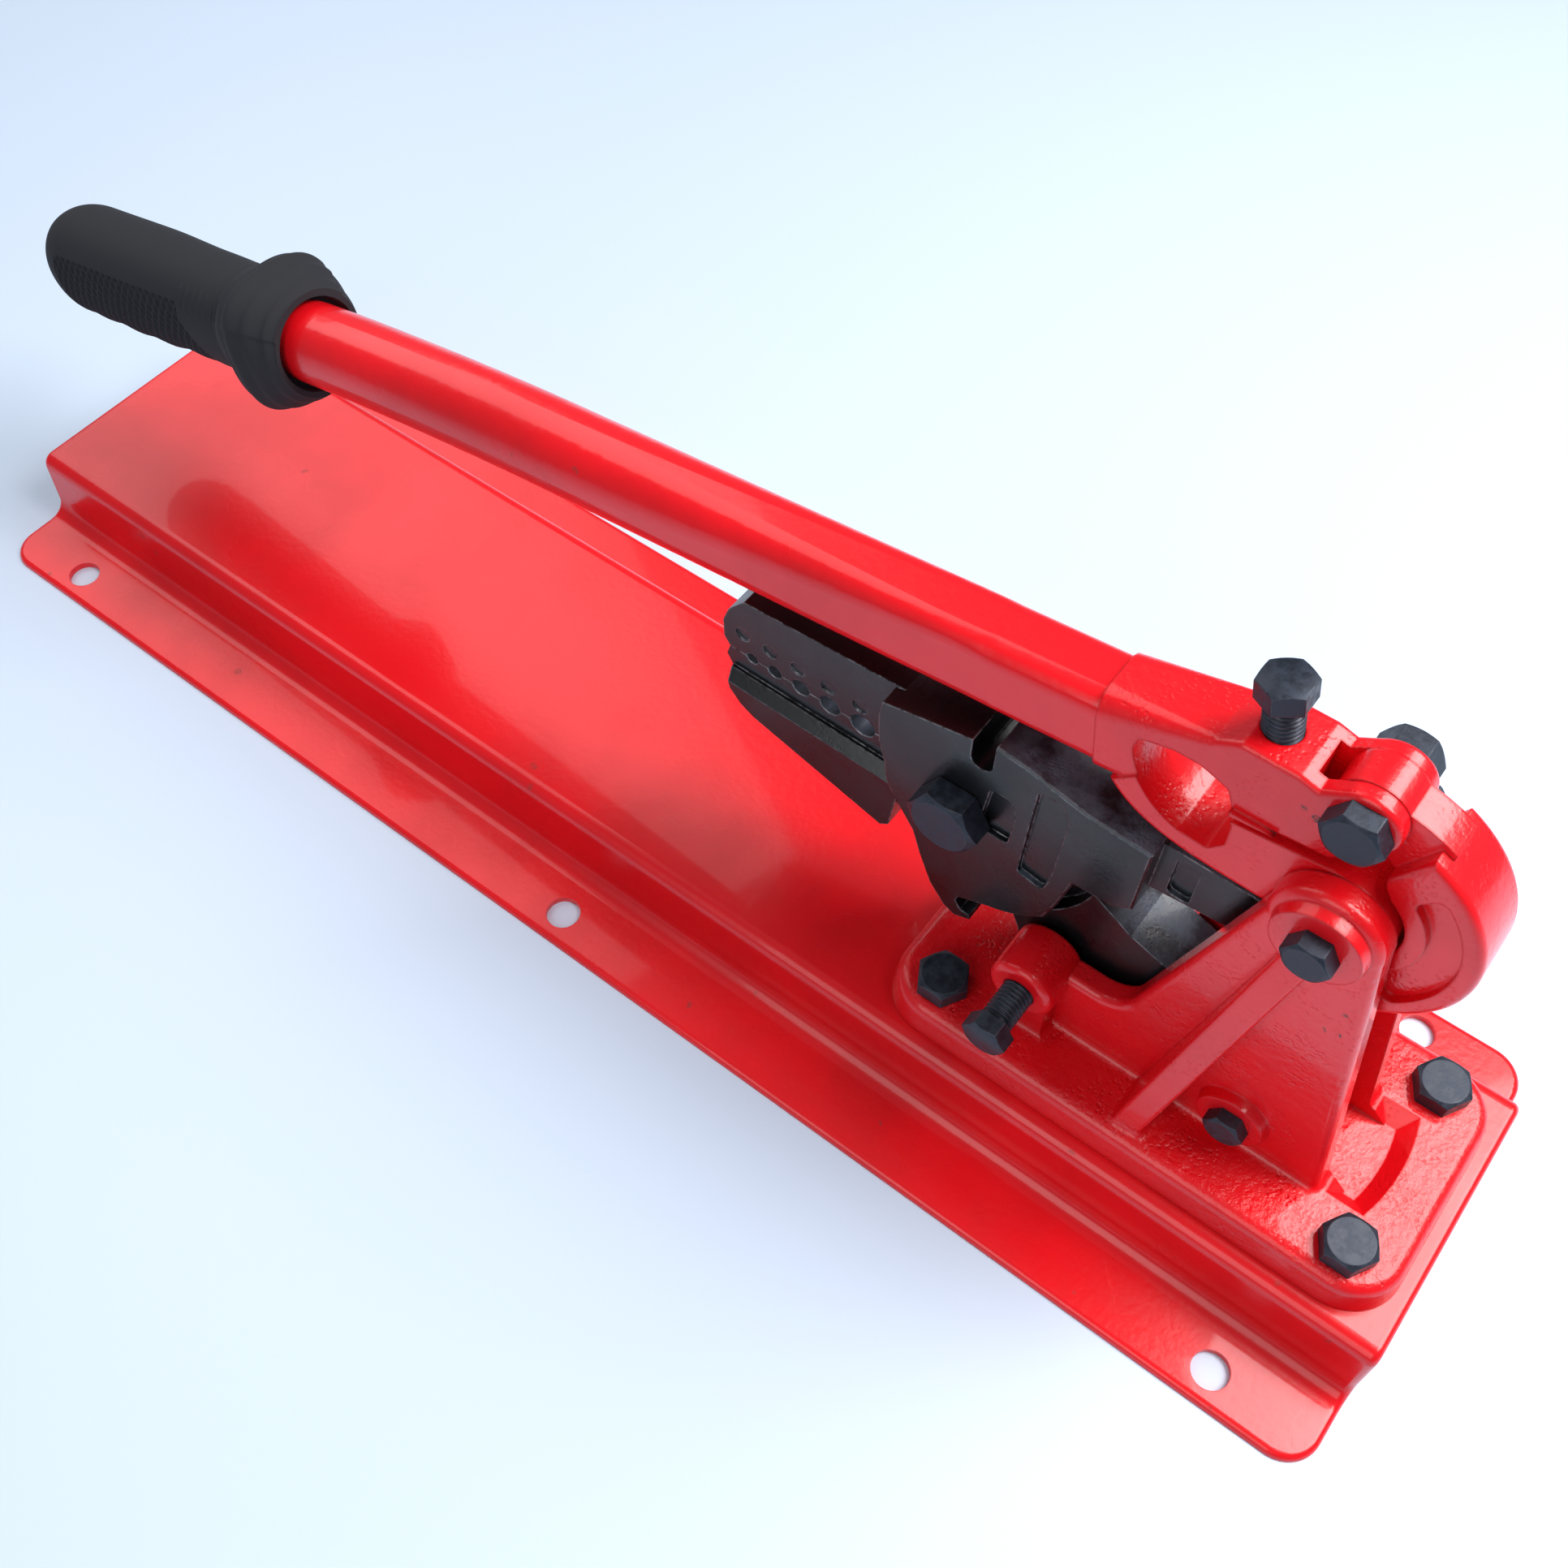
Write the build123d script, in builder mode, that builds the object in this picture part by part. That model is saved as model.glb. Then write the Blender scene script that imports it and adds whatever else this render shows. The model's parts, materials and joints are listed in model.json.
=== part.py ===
from build123d import *
import os
from math import cos, hypot, radians, sin, tan

# Bench hand swager: a lever press that crimps ferrules on wire rope.
# Millimetres. +X runs from the grip to the mechanism, the near side is -Y, +Z is up.
# The origin is the centre of the six mounting holes, on the underside of the base plate.

os.makedirs("parts", exist_ok=True)

# ---- Pivots, each as (x, z), with its axis along Y ----
fulcrum = (260.0, 187.0)      # lever on the frame casting
link_pivot = (254.5, 225.5)   # toggle link in the lever's clevis, in line with the fulcrum and the tail pin
tail_pivot = (264.7, 154.0)   # toggle link on the upper jaw's tail
jaw_pivot = (138.0, 134.0)    # upper jaw on the lower jaw
anchor = (262.0, 67.0)        # lower jaw's tail in the frame casting
clamp_axis = (181.5, 79.0)    # two screws that centre the lower jaw's tail

# ---- Base plate: hat section folded from sheet ----
sheet = 3.0
base_length = 684.0
base_width = 187.0
platform_width = 116.0
platform_top = 36.0
wall_draft = 2.0              # the walls lean out by this much over their height
mount_pitch = 300.0
mount_spread = 162.0
mount_hole_radius = 7.0
flange_corner = 14.0
lip_depth = 22.0
lip_gap = 1.5

# ---- Frame casting ----
casting_mid_x = 233.5
casting_length = 205.0
casting_width = 102.0
casting_thickness = 14.0
casting_corner = 21.0
casting_draft = 8.0           # degrees that the flange's sides lean in
casting_edge = 5.0            # radius round the flange's top
casting_root = 3.0            # radius where cheeks and bosses meet the flange
casting_top = platform_top + casting_thickness
cheek_inner = 15.0
cheek_outer = 24.0
cheek_edge = 3.0
fulcrum_end_radius = 18.0
fulcrum_boss_radius = 15.0
fulcrum_boss_height = 4.0
clamp_boss_radius = 12.5
clamp_boss_face = 36.0
anchor_boss_radius = 13.0
anchor_boss_height = 4.0
boss_draft = 12.0             # degrees
rib_half_width = 5.0
rib_foot = (231.0, platform_top)
rib_foot_reach = 46.0
rib_head_reach = cheek_outer + 3.5
hollow_depth = 6.0            # between the cheeks
hollow_mouth = 22.0           # half width of the hollow past the cheeks

# ---- Fasteners: heads and nuts are (across flats, height) ----
hole_play = 0.05              # radial clearance of every turning or screwed fit
bolt_end = 3.0                # a bolt stands this far out of its nut
base_head, base_nut_size = (18.0, 7.5), (18.0, 10.0)
jaw_head, jaw_nut_size = (24.0, 10.0), (24.0, 13.0)
fulcrum_head, fulcrum_nut_size = (14.0, 6.5), (17.0, 10.0)
link_head, link_nut_size = (17.0, 7.0), (17.0, 8.0)
anchor_head, anchor_nut_size = (13.0, 5.5), (13.0, 6.5)
clamp_head = (15.0, 7.0)
clamp_head_seat = 52.0        # from the middle to the underside of a clamp screw's head
clamp_gap = 0.2               # between a clamp screw's tip and the jaw's tail
screw_head = (15.0, 7.5)
washer_radius = 12.0
washer_thickness = 2.5
base_bolt_radius = 6.0
base_bolt_x = (152.0, 314.5)
base_bolt_spread = 71.0
bolt_slack = 0.5              # radial slack of a bolt in a plain hole
fulcrum_bolt_radius = 6.0
link_bolt_radius = 5.0
anchor_bolt_radius = 4.0
jaw_bolt_radius = 8.0
tail_pin_radius = 5.0
screw_radius = 6.0            # adjusting screw
clamp_screw_radius = 6.0

# ---- Jaws ----
die_half = 10.0               # nose of both jaws
ledge_half = 15.0             # lower jaw below its ledge
fork_half = 18.0              # upper jaw's body
tongue_half = 5.9             # lower jaw between the fork's ears
fork_slot_half = 6.1
tail_half = 12.0              # lower jaw's tail
jaw_tail_half = 9.5           # upper jaw's tail
jaw_edge = 0.8                # chamfer round the upper jaw's body
eye_radius = 9.0              # oversize, because the tail pin's pivot is open
eye_outer = 13.0
jaw_recess = 2.2
jaw_gap = 0.15                # each die face stands this far off the parting plane
fork_hub_radius = 29.0
hub_play = 2.0                # lower jaw's body round the fork's ears
lobe_radius = 51.5
lobe_play = 1.5
cavities = ((46, 2.5), (56, 3.0), (67.5, 3.7), (80, 4.4), (94, 5.2))   # (x, radius)
size_marks = ((42, 144.5), (54, 144), (66, 143.5), (79, 143.5), (92.5, 143.5))
mark_radius = 3.0
mark_depth = 0.7

# ---- Lever ----
limb_half = 12.0
lower_limb_half = 14.0
head_edge = 2.5
hub_half = 14.5
hub_radius = 17.0
ear_radius = 11.2
clevis_slot_half = 6.4
clevis_slot_left = 238.0
tube_wall = 3.0
screw_top = (221.2, 242.9)    # underside of the adjusting screw's head
screw_tilt = 11.0             # degrees from upright
screw_length = 41.9           # its end rests on the slit's lower face

# ---- Toggle link ----
link_boss_half = 6.25
link_boss_radius = 11.5
link_tail_radius = 12.0
link_shoulder = 26.5          # inner end of the body's shoulder, from its centre
link_neck = 2.0               # the neck stands this far out of the body's arc
link_body_half = 12.0
link_centre = (255.0, 185.0)  # of the body's outer arc
link_outer_radius = 46.0
link_inner_radius = 18.6      # round the fulcrum
link_edge = 2.5
link_rim = 6.0                # left round the recess
link_recess = 3.0


def side(y):
    """The upright plane at this y. Sketches on it read as (x, z) and extrude towards -Y."""
    return Plane.XZ.offset(-y)


def towards(point, angle, radius):
    """The point at this radius and angle, in degrees above +X, from a pivot."""
    return (point[0] + radius * cos(radians(angle)), point[1] + radius * sin(radians(angle)))


def hex_head(across_flats, height, crown):
    """A hexagon standing on the XY plane, its top corners turned off."""
    with BuildPart() as blank:
        Cylinder(across_flats / 2 / cos(radians(30)), height, align=(Align.CENTER, Align.CENTER, Align.MIN))
        chamfer(blank.faces().sort_by(Axis.Z)[-1].edges(), crown * 0.6, crown)
    with BuildPart() as head:
        with BuildSketch():
            RegularPolygon(across_flats / 2, 6, major_radius=False)
        extrude(amount=height)
        add(blank.part, mode=Mode.INTERSECT)
    return head.part


def hex_bolt(across_flats, head_height, shank_radius, shank_length):
    """A hex bolt with its head above the XY plane and its shank below."""
    head = hex_head(across_flats, head_height, across_flats / 8)
    with BuildPart() as bolt:
        add(head)
        Cylinder(shank_radius, shank_length, align=(Align.CENTER, Align.CENTER, Align.MAX))
        chamfer(bolt.edges().sort_by(Axis.Z)[0], shank_radius / 6)
    return bolt.part


def hex_nut(across_flats, height, bolt_radius):
    """A hex nut standing on the XY plane."""
    body = hex_head(across_flats, height, across_flats / 8)
    with BuildPart() as nut:
        add(body)
        Hole(bolt_radius + hole_play)
    return nut.part


def facing_near(pivot, y):
    """A seat at this y on a pivot's axis, facing the near side."""
    return Plane(origin=(pivot[0], y, pivot[1]), x_dir=(1, 0, 0), z_dir=(0, -1, 0))


def facing_far(pivot, y):
    """A seat at this y on a pivot's axis, facing the far side."""
    return Plane(origin=(pivot[0], y, pivot[1]), x_dir=(-1, 0, 0), z_dir=(0, 1, 0))


def rim_edges(piece, half):
    """The edges of a piece's side faces, which stand this far from the middle."""
    return piece.edges().filter_by(lambda e: abs(abs(e.center().Y) - half) < 0.1)


# =====================================================================
# Base plate
# =====================================================================
base_bend = 8.0
top_bend = 6.0
half_base = base_width / 2
half_platform = platform_width / 2
wall_foot = half_platform + wall_draft
bolt_places = [(x, y) for x in base_bolt_x for y in (-base_bolt_spread / 2, base_bolt_spread / 2)]

with BuildPart() as base_plate:
    with BuildSketch(Plane.YZ.offset(-base_length / 2)):
        with BuildLine():
            skin = FilletPolyline(
                (-half_base, sheet), (-wall_foot, sheet), (-half_platform, platform_top),
                (half_platform, platform_top), (wall_foot, sheet), (half_base, sheet),
                radius=[base_bend, top_bend, top_bend, base_bend])
            underside = FilletPolyline(
                (half_base, 0), (wall_foot - sheet, 0), (half_platform - sheet, platform_top - sheet),
                (sheet - half_platform, platform_top - sheet), (sheet - wall_foot, 0), (-half_base, 0),
                radius=[base_bend + sheet, top_bend - sheet, top_bend - sheet, base_bend + sheet])
            Line(skin @ 0, underside @ 1)
            Line(skin @ 1, underside @ 0)
        make_face()
    extrude(amount=base_length)
    fillet(rim_edges(base_plate, half_base).filter_by(Axis.Z), flange_corner)
    # lip folded down at the mechanism end
    lip_width = 2 * (half_platform - top_bend - lip_gap)
    with Locations((base_length / 2 - sheet / 2, 0, platform_top)):
        Box(sheet, lip_width, lip_depth, align=(Align.CENTER, Align.CENTER, Align.MAX))
    end_edge = base_plate.edges().filter_by(Axis.Y).group_by(Axis.X)[-1].sort_by(Axis.Z)[-1]
    fillet(end_edge, sheet - 0.2)
    with GridLocations(mount_pitch, mount_spread, 3, 2):
        Hole(mount_hole_radius)
    with Locations(*bolt_places):
        Hole(base_bolt_radius + bolt_slack)
base_plate.part.label = "base_plate"
export_step(base_plate.part, "parts/base_plate.step")

# =====================================================================
# Frame casting: flange, two cheeks, bosses and ribs
# =====================================================================
rib_length = hypot(fulcrum[0] - rib_foot[0], fulcrum[1] - rib_foot[1])
rib_down = ((rib_foot[0] - fulcrum[0]) / rib_length, (rib_foot[1] - fulcrum[1]) / rib_length)
rib_plane = Plane(
    origin=(fulcrum[0], 0, fulcrum[1]),
    x_dir=(rib_down[0], 0, rib_down[1]),
    z_dir=(rib_down[1], 0, -rib_down[0]))

cheek_foot = casting_top - 10     # the cheeks start inside the flange and are cut level with the platform
rim_share = 0.43                  # the flange's own edge lies beyond this share of its size

with BuildPart() as cheek:
    with BuildSketch(side(-cheek_inner)):
        with BuildLine():
            front = FilletPolyline(
                (175, cheek_foot), (175, 84), (213.5, 84), (243, fulcrum[1]), radius=[5, 14])
            Polyline(front @ 1, (fulcrum[0] + fulcrum_end_radius - 0.6, fulcrum[1] + 4), (299, cheek_foot),
                     front @ 0)
        make_face()
        with Locations(fulcrum):
            Circle(fulcrum_end_radius)
    extrude(amount=cheek_outer - cheek_inner)
    fillet(rim_edges(cheek, cheek_outer).filter_by(lambda e: e.center().Z > cheek_foot + 1), cheek_edge)

# boss and post for the clamp screw
post_step = 4.0
with BuildPart() as clamp_boss:
    with BuildSketch(side(-cheek_inner)):
        with Locations(clamp_axis):
            Circle(clamp_boss_radius)
    extrude(amount=clamp_boss_face - cheek_inner)
    with BuildSketch(side(-cheek_inner)):
        with Locations((clamp_axis[0], (clamp_axis[1] + cheek_foot) / 2)):
            Rectangle(2 * clamp_boss_radius - 5, clamp_axis[1] - cheek_foot)
    extrude(amount=clamp_boss_face - cheek_inner - post_step)
    fillet(clamp_boss.faces().sort_by(Axis.Y)[0].edges(), cheek_edge - 0.5)

with BuildPart() as frame_casting:
    add(cheek.part)
    add(clamp_boss.part)
    # bosses round the fulcrum bolt and the anchor bolt
    for pivot, radius, height in (
            (fulcrum, fulcrum_boss_radius, fulcrum_boss_height),
            (anchor, anchor_boss_radius, anchor_boss_height)):
        with BuildSketch(side(-cheek_outer)):
            with Locations(pivot):
                Circle(radius)
        extrude(amount=height, taper=boss_draft)
    # rib from the fulcrum boss to the flange's edge
    with BuildSketch(rib_plane):
        with BuildLine():
            Polyline(
                (fulcrum_bolt_radius + 4, cheek_inner + 1), (fulcrum_bolt_radius + 4, rib_head_reach),
                (rib_length, rib_foot_reach), (rib_length, cheek_inner + 1), close=True)
        make_face()
    extrude(amount=rib_half_width, both=True)
    rib_edges = frame_casting.edges().filter_by(lambda e: e.length > 100 and e.center().Y < -cheek_outer - 2)
    fillet(rib_edges, cheek_edge / 2)
    with Locations((casting_mid_x, 0, platform_top)):
        Box(casting_length, 2 * casting_width, platform_top, align=(Align.CENTER, Align.CENTER, Align.MAX),
            mode=Mode.SUBTRACT)
    mirror(about=Plane.XZ)
    # flange
    with BuildSketch(Plane.XY.offset(platform_top)):
        with Locations((casting_mid_x, 0)):
            RectangleRounded(casting_length, casting_width, casting_corner)
    extrude(amount=casting_thickness, taper=casting_draft)
    # its top edge, then the roots of what stands on it
    flange_rim = frame_casting.edges().filter_by(
        lambda e: abs(e.center().Z - casting_top) < 0.1
        and (abs(e.center().Y) > casting_width * rim_share and e.length > casting_corner
             or abs(e.center().X - casting_mid_x) > casting_length * rim_share))
    fillet(flange_rim, casting_edge)
    roots = frame_casting.edges().filter_by(
        lambda e: abs(e.center().Z - casting_top) < 0.1 and e.length > 1
        and cheek_inner < abs(e.center().Y) - 0.5 < casting_width * 0.4)
    fillet(roots, casting_root)
    # hollow between the cheeks, wider past their rear ends, where its wall slopes
    with Locations((270, 0, casting_top)):
        Box(74, 2 * cheek_inner, 2 * hollow_depth, mode=Mode.SUBTRACT)
    with BuildSketch(Plane.XY.offset(casting_top)):
        with BuildLine():
            mouth = ThreePointArc((314, hollow_mouth), (317.3, 0), (314, -hollow_mouth))
            Polyline(mouth @ 1, (299.5, -hollow_mouth), (299.5, hollow_mouth), mouth @ 0)
        make_face()
    extrude(amount=-hollow_depth, taper=45, mode=Mode.SUBTRACT)
    # holes
    for pivot, radius in (
            (fulcrum, fulcrum_bolt_radius), (anchor, anchor_bolt_radius), (clamp_axis, clamp_screw_radius)):
        with BuildSketch(side(0)):
            with Locations(pivot):
                Circle(radius + hole_play)
        extrude(amount=casting_width, both=True, mode=Mode.SUBTRACT)
    with BuildSketch():
        with Locations(*bolt_places):
            Circle(base_bolt_radius + bolt_slack)
    extrude(amount=casting_top + 1, mode=Mode.SUBTRACT)
frame_casting.part.label = "frame_casting"
export_step(frame_casting.part, "parts/frame_casting.step")

# =====================================================================
# Bolts, washers and nuts that hold the casting on the platform
# =====================================================================
under_platform = platform_top - sheet
under_washers = under_platform - washer_thickness
base_bolt = hex_bolt(*base_head, base_bolt_radius, casting_top - under_washers + base_nut_size[1] + bolt_end)
base_nut = hex_nut(*base_nut_size, base_bolt_radius)

with BuildPart() as base_bolts:
    with Locations(*[(x, y, casting_top) for x, y in bolt_places]):
        add(base_bolt)
base_bolts.part.label = "base_bolts"
export_step(base_bolts.part, "parts/base_bolts.step")

with BuildPart() as base_washers:
    with BuildSketch(Plane.XY.offset(under_platform)):
        with Locations(*bolt_places):
            Circle(washer_radius)
            Circle(base_bolt_radius + bolt_slack, mode=Mode.SUBTRACT)
    extrude(amount=-washer_thickness)
base_washers.part.label = "base_washers"
export_step(base_washers.part, "parts/base_washers.step")

with BuildPart() as base_nuts:
    with Locations(*[(x, y, under_washers - base_nut_size[1]) for x, y in bolt_places]):
        add(base_nut)
base_nuts.part.label = "base_nuts"
export_step(base_nuts.part, "parts/base_nuts.step")

# =====================================================================
# Lower jaw: die nose, tongue inside the fork, tail down to the anchor
# =====================================================================
parting = jaw_pivot[1]
nose_arc_start, nose_arc_mid, nose_arc_end = (
    towards(jaw_pivot, angle, fork_hub_radius + hub_play) for angle in (180, 200, 217))
body_arc_start, body_arc_mid = (
    towards(jaw_pivot, angle, fork_hub_radius + hub_play) for angle in (201, 209))
tail_arc_start, tail_arc_mid, tail_arc_end = (
    towards(jaw_pivot, angle, lobe_radius + lobe_play) for angle in (-13, -40, -64))

with BuildPart() as lower_jaw:
    # die nose
    with BuildSketch(side(0)):
        with BuildLine():
            Polyline(nose_arc_end, (110, 112), (44, 112), (38, 122), (34.5, parting - 5), (36, parting - jaw_gap),
                     (nose_arc_start[0], parting - jaw_gap), nose_arc_start)
            ThreePointArc(nose_arc_start, nose_arc_mid, nose_arc_end)
        make_face()
    extrude(amount=die_half, both=True)
    # deeper body under the ledge
    with BuildSketch(side(0)):
        with BuildLine():
            Polyline(body_arc_start, (37.5, 125), (39, 117), (44, 111), (50, 107.5), (107, 90), (110.5, 93),
                     nose_arc_end)
            ThreePointArc(nose_arc_end, body_arc_mid, body_arc_start)
        make_face()
    extrude(amount=ledge_half, both=True)
    ledge_edges = rim_edges(lower_jaw, ledge_half).filter_by(lambda e: e.length > 50 and e.center().Z > 115)
    chamfer(ledge_edges, 3.5, 4.5)
    # tongue round the pivot
    with BuildSketch(side(0)):
        with Locations(jaw_pivot):
            Circle(fork_hub_radius - 1)
        with BuildLine():
            Polyline((100, parting - 1), (100, 95), (118, 92), (150, 80), (176, 72), (204, 84), (200, 108),
                     (166, 122), jaw_pivot, close=True)
        make_face()
    extrude(amount=tongue_half, both=True)
    # tail between the cheeks
    with BuildSketch(side(0)):
        with BuildLine():
            ThreePointArc(tail_arc_start, tail_arc_mid, tail_arc_end)
            Polyline(tail_arc_end, (168, 70), (196, 60), anchor)
            Polyline(anchor, (271, 76), (232, 101), (206, 111), tail_arc_start)
        make_face()
        with Locations(anchor):
            Circle(13.5)
    extrude(amount=tail_half, both=True)
    # cavities, clearance and holes
    with BuildSketch(side(0)):
        for x, radius in cavities:
            with Locations((x, parting)):
                Circle(radius)
        with Locations(jaw_pivot):
            Circle(jaw_bolt_radius + hole_play)
        with Locations(anchor):
            Circle(anchor_bolt_radius + hole_play)
    extrude(amount=2 * fork_half, both=True, mode=Mode.SUBTRACT)
lower_jaw.part.label = "lower_jaw"
export_step(lower_jaw.part, "parts/lower_jaw.step")

# =====================================================================
# Upper jaw: die nose, forked body, tail to the toggle link
# =====================================================================
lobe_start, lobe_mid, lobe_end = (towards(jaw_pivot, angle, lobe_radius) for angle in (-41, -58, -75))
hub_low, hub_mid, hub_left = (towards(jaw_pivot, angle, fork_hub_radius) for angle in (217, 200, 180))

with BuildPart() as upper_jaw:
    # die nose
    with BuildSketch(side(0)):
        with BuildLine():
            Polyline((36, parting + jaw_gap), (33.5, 138), (33.5, 147), (36, 154), (43, 162.5), (110, 167),
                     (hub_left[0], parting + jaw_gap), close=True)
        make_face()
    extrude(amount=die_half, both=True)
    # body
    with BuildSketch(side(0)):
        with BuildLine():
            Polyline(hub_left, (106, 145), (105.3, 158), (106.3, 166), (118, 169), (140, 174), (149, 177),
                     (160, 175.8), (183, 170.3), (206, 168.9), (205, 135.5), (199, 131.3), (184, 130),
                     (180.5, 113), lobe_start)
            ThreePointArc(lobe_start, lobe_mid, lobe_end)
            # hook under the lobe, with a slot over it
            Polyline(lobe_end, (144, 80.5), (143, 77), (145.5, 72.8), (149.5, 72.5), (149.9, 70.3), (143.5, 67.1),
                     (138.8, 69.6), (132, 78.6), (126.4, 93), (122.7, 104.7), hub_low)
            ThreePointArc(hub_low, hub_mid, hub_left)
        make_face()
        with Locations((144.8, 173)):
            SlotOverall(22, 8.4, rotation=90, mode=Mode.SUBTRACT)
    extrude(amount=fork_half, both=True)
    chamfer(rim_edges(upper_jaw, fork_half).filter_by(lambda e: e.center().X > 152 and e.length > 5), jaw_edge)
    # slot of the fork
    with BuildSketch(side(0)):
        with Locations(jaw_pivot):
            Circle(fork_hub_radius)
        with BuildLine():
            Polyline((95, parting + jaw_gap), (230, parting + jaw_gap), (230, 60), (95, 60), close=True)
        make_face()
    extrude(amount=fork_slot_half, both=True, mode=Mode.SUBTRACT)
    # tail
    with BuildSketch(side(0)):
        with BuildLine():
            Polyline((204, 166), (236, 165.5), (246, 164), (246, 145), (230, 143), (204, 140), close=True)
        make_face()
        with Locations(tail_pivot):
            Circle(eye_outer + 5, mode=Mode.SUBTRACT)
    extrude(amount=jaw_tail_half, both=True)
    # tongue of the tail, with an oversize eye for the toggle link's pin
    with BuildSketch(side(0)):
        with BuildLine():
            Polyline((200, 164), (tail_pivot[0] + 2, tail_pivot[1] + eye_outer - 0.2),
                     (tail_pivot[0] + 2, tail_pivot[1] - eye_outer + 0.2), (200, 142), close=True)
        make_face()
        with Locations(tail_pivot):
            Circle(eye_outer)
    extrude(amount=tongue_half, both=True)
    # recesses on the body and the tail
    for y, outline in (
            (fork_half, ((149.5, 154.5), (147, 130.5), (158.6, 130.3), (159.8, 147), (157.5, 154.6))),
            (fork_half, ((165.8, 168), (164, 118.5), (174, 116.5), (176, 125), (177.8, 160), (175, 168))),
            (jaw_tail_half, ((211.5, 163), (211, 143), (219, 142.5), (219.6, 163)))):
        for facing in (-1, 1):
            with BuildSketch(side(facing * y)):
                with BuildLine():
                    Polyline(*outline, close=True)
                make_face()
                fillet(vertices(), jaw_recess)
            extrude(amount=facing * jaw_recess, mode=Mode.SUBTRACT)
    # size marks
    for facing in (-1, 1):
        with BuildSketch(side(facing * die_half)):
            with Locations(*size_marks):
                Circle(mark_radius)
        extrude(amount=facing * mark_depth, mode=Mode.SUBTRACT)
    # cavities and holes
    with BuildSketch(side(0)):
        for x, radius in cavities:
            with Locations((x, parting)):
                Circle(radius)
        with Locations(jaw_pivot):
            Circle(jaw_bolt_radius + hole_play)
        with Locations(tail_pivot):
            Circle(eye_radius)
    extrude(amount=2 * fork_half, both=True, mode=Mode.SUBTRACT)
upper_jaw.part.label = "upper_jaw"
export_step(upper_jaw.part, "parts/upper_jaw.step")

# =====================================================================
# Toggle link: a C that hangs on the clevis and wraps behind the lever's hub
# =====================================================================
link_top, link_bottom = 64, -52     # ends of the wide body's outer arc, in degrees about its centre
inner_top, inner_mid, inner_bottom = (towards(fulcrum, angle, link_inner_radius) for angle in (55, 0, -55))

with BuildPart() as link_body:
    # wide C body
    with BuildSketch(side(0)):
        with BuildLine():
            outer = ThreePointArc(*(towards(link_centre, angle, link_outer_radius)
                                    for angle in (link_top, (link_top + link_bottom) / 2, link_bottom)))
            Polyline(outer @ 1, (tail_pivot[0] + 2, tail_pivot[1] - link_tail_radius), tail_pivot, inner_bottom)
            ThreePointArc(inner_bottom, inner_mid, inner_top)
            Polyline(inner_top, towards(link_centre, link_top, link_shoulder), outer @ 0)
        make_face()
        with Locations(tail_pivot):
            Circle(link_tail_radius)
    extrude(amount=link_body_half, both=True)
    outer_rim = rim_edges(link_body, link_body_half).filter_by(lambda e: e.length > 60 or e.center().Z > 210)
    fillet(outer_rim, link_edge)

with BuildPart() as toggle_link:
    add(link_body.part)
    # boss inside the clevis, and the neck that leaves it
    with BuildSketch(side(0)):
        with Locations(link_pivot):
            Circle(link_boss_radius)
        with BuildLine():
            neck = ThreePointArc(*(towards(link_centre, angle, link_outer_radius + link_neck)
                                   for angle in (82, 72, 60)))
            Polyline(neck @ 1, (278, 212), towards(link_centre, link_top, link_shoulder),
                     (link_pivot[0] + 5, link_pivot[1] - 10), (link_pivot[0], link_pivot[1] + link_boss_radius),
                     neck @ 0)
        make_face()
    extrude(amount=link_boss_half, both=True)
    # clearance round the clevis ears
    for facing in (-1, 1):
        with BuildSketch(side(facing * link_boss_half)):
            with Locations(link_pivot):
                Circle(ear_radius + 1.2)
        extrude(amount=-facing * 20, mode=Mode.SUBTRACT)
    # fork for the jaw's tail
    with BuildSketch(side(0)):
        with Locations(tail_pivot):
            Circle(eye_outer + 6)
    extrude(amount=fork_slot_half, both=True, mode=Mode.SUBTRACT)
    # recessed web
    for facing in (-1, 1):
        with BuildSketch(side(facing * link_body_half)):
            with BuildLine():
                rim_side = ThreePointArc(*(towards(link_centre, angle, link_outer_radius - link_rim)
                                           for angle in (47, 0, -47)))
                hub_side = ThreePointArc(*(towards(fulcrum, angle, link_inner_radius + link_rim)
                                           for angle in (-50, 0, 50)))
                Line(rim_side @ 1, hub_side @ 0)
                Line(hub_side @ 1, rim_side @ 0)
            make_face()
            fillet(vertices(), link_recess)
        extrude(amount=facing * link_recess, mode=Mode.SUBTRACT)
    # pin holes
    with BuildSketch(side(0)):
        with Locations(link_pivot):
            Circle(link_bolt_radius + hole_play)
        with Locations(tail_pivot):
            Circle(tail_pin_radius)
    extrude(amount=2 * link_body_half, both=True, mode=Mode.SUBTRACT)
toggle_link.part.label = "toggle_link"
export_step(toggle_link.part, "parts/toggle_link.step")

with BuildPart() as tail_pin:
    with BuildSketch(side(0)):
        with Locations(tail_pivot):
            Circle(tail_pin_radius)
    extrude(amount=link_body_half, both=True)
tail_pin.part.label = "tail_pin"
export_step(tail_pin.part, "parts/tail_pin.step")

# =====================================================================
# Lever head: socket block, clevis limb, curved lower limb and hub
# =====================================================================
slit_start = (220, 200.5)
slit_end = (275, 207.9)
slit_half = 1.1
tube_end = (177.0, 201.0)      # where the tube meets the head, on the tube's centreline
tube_slope = 7.0               # degrees that the tube climbs into the head
spigot_length = 28.0
tube_end_width = 25.0
tube_end_height = 30.0
tube_plane = Plane(
    origin=(tube_end[0], 0, tube_end[1]),
    x_dir=(0, -1, 0),
    z_dir=(-cos(radians(tube_slope)), 0, -sin(radians(tube_slope))))
screw_plane = Plane(
    origin=(screw_top[0], 0, screw_top[1]),
    x_dir=(cos(radians(screw_tilt)), 0, sin(radians(screw_tilt))),
    z_dir=(-sin(radians(screw_tilt)), 0, cos(radians(screw_tilt))))


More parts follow.
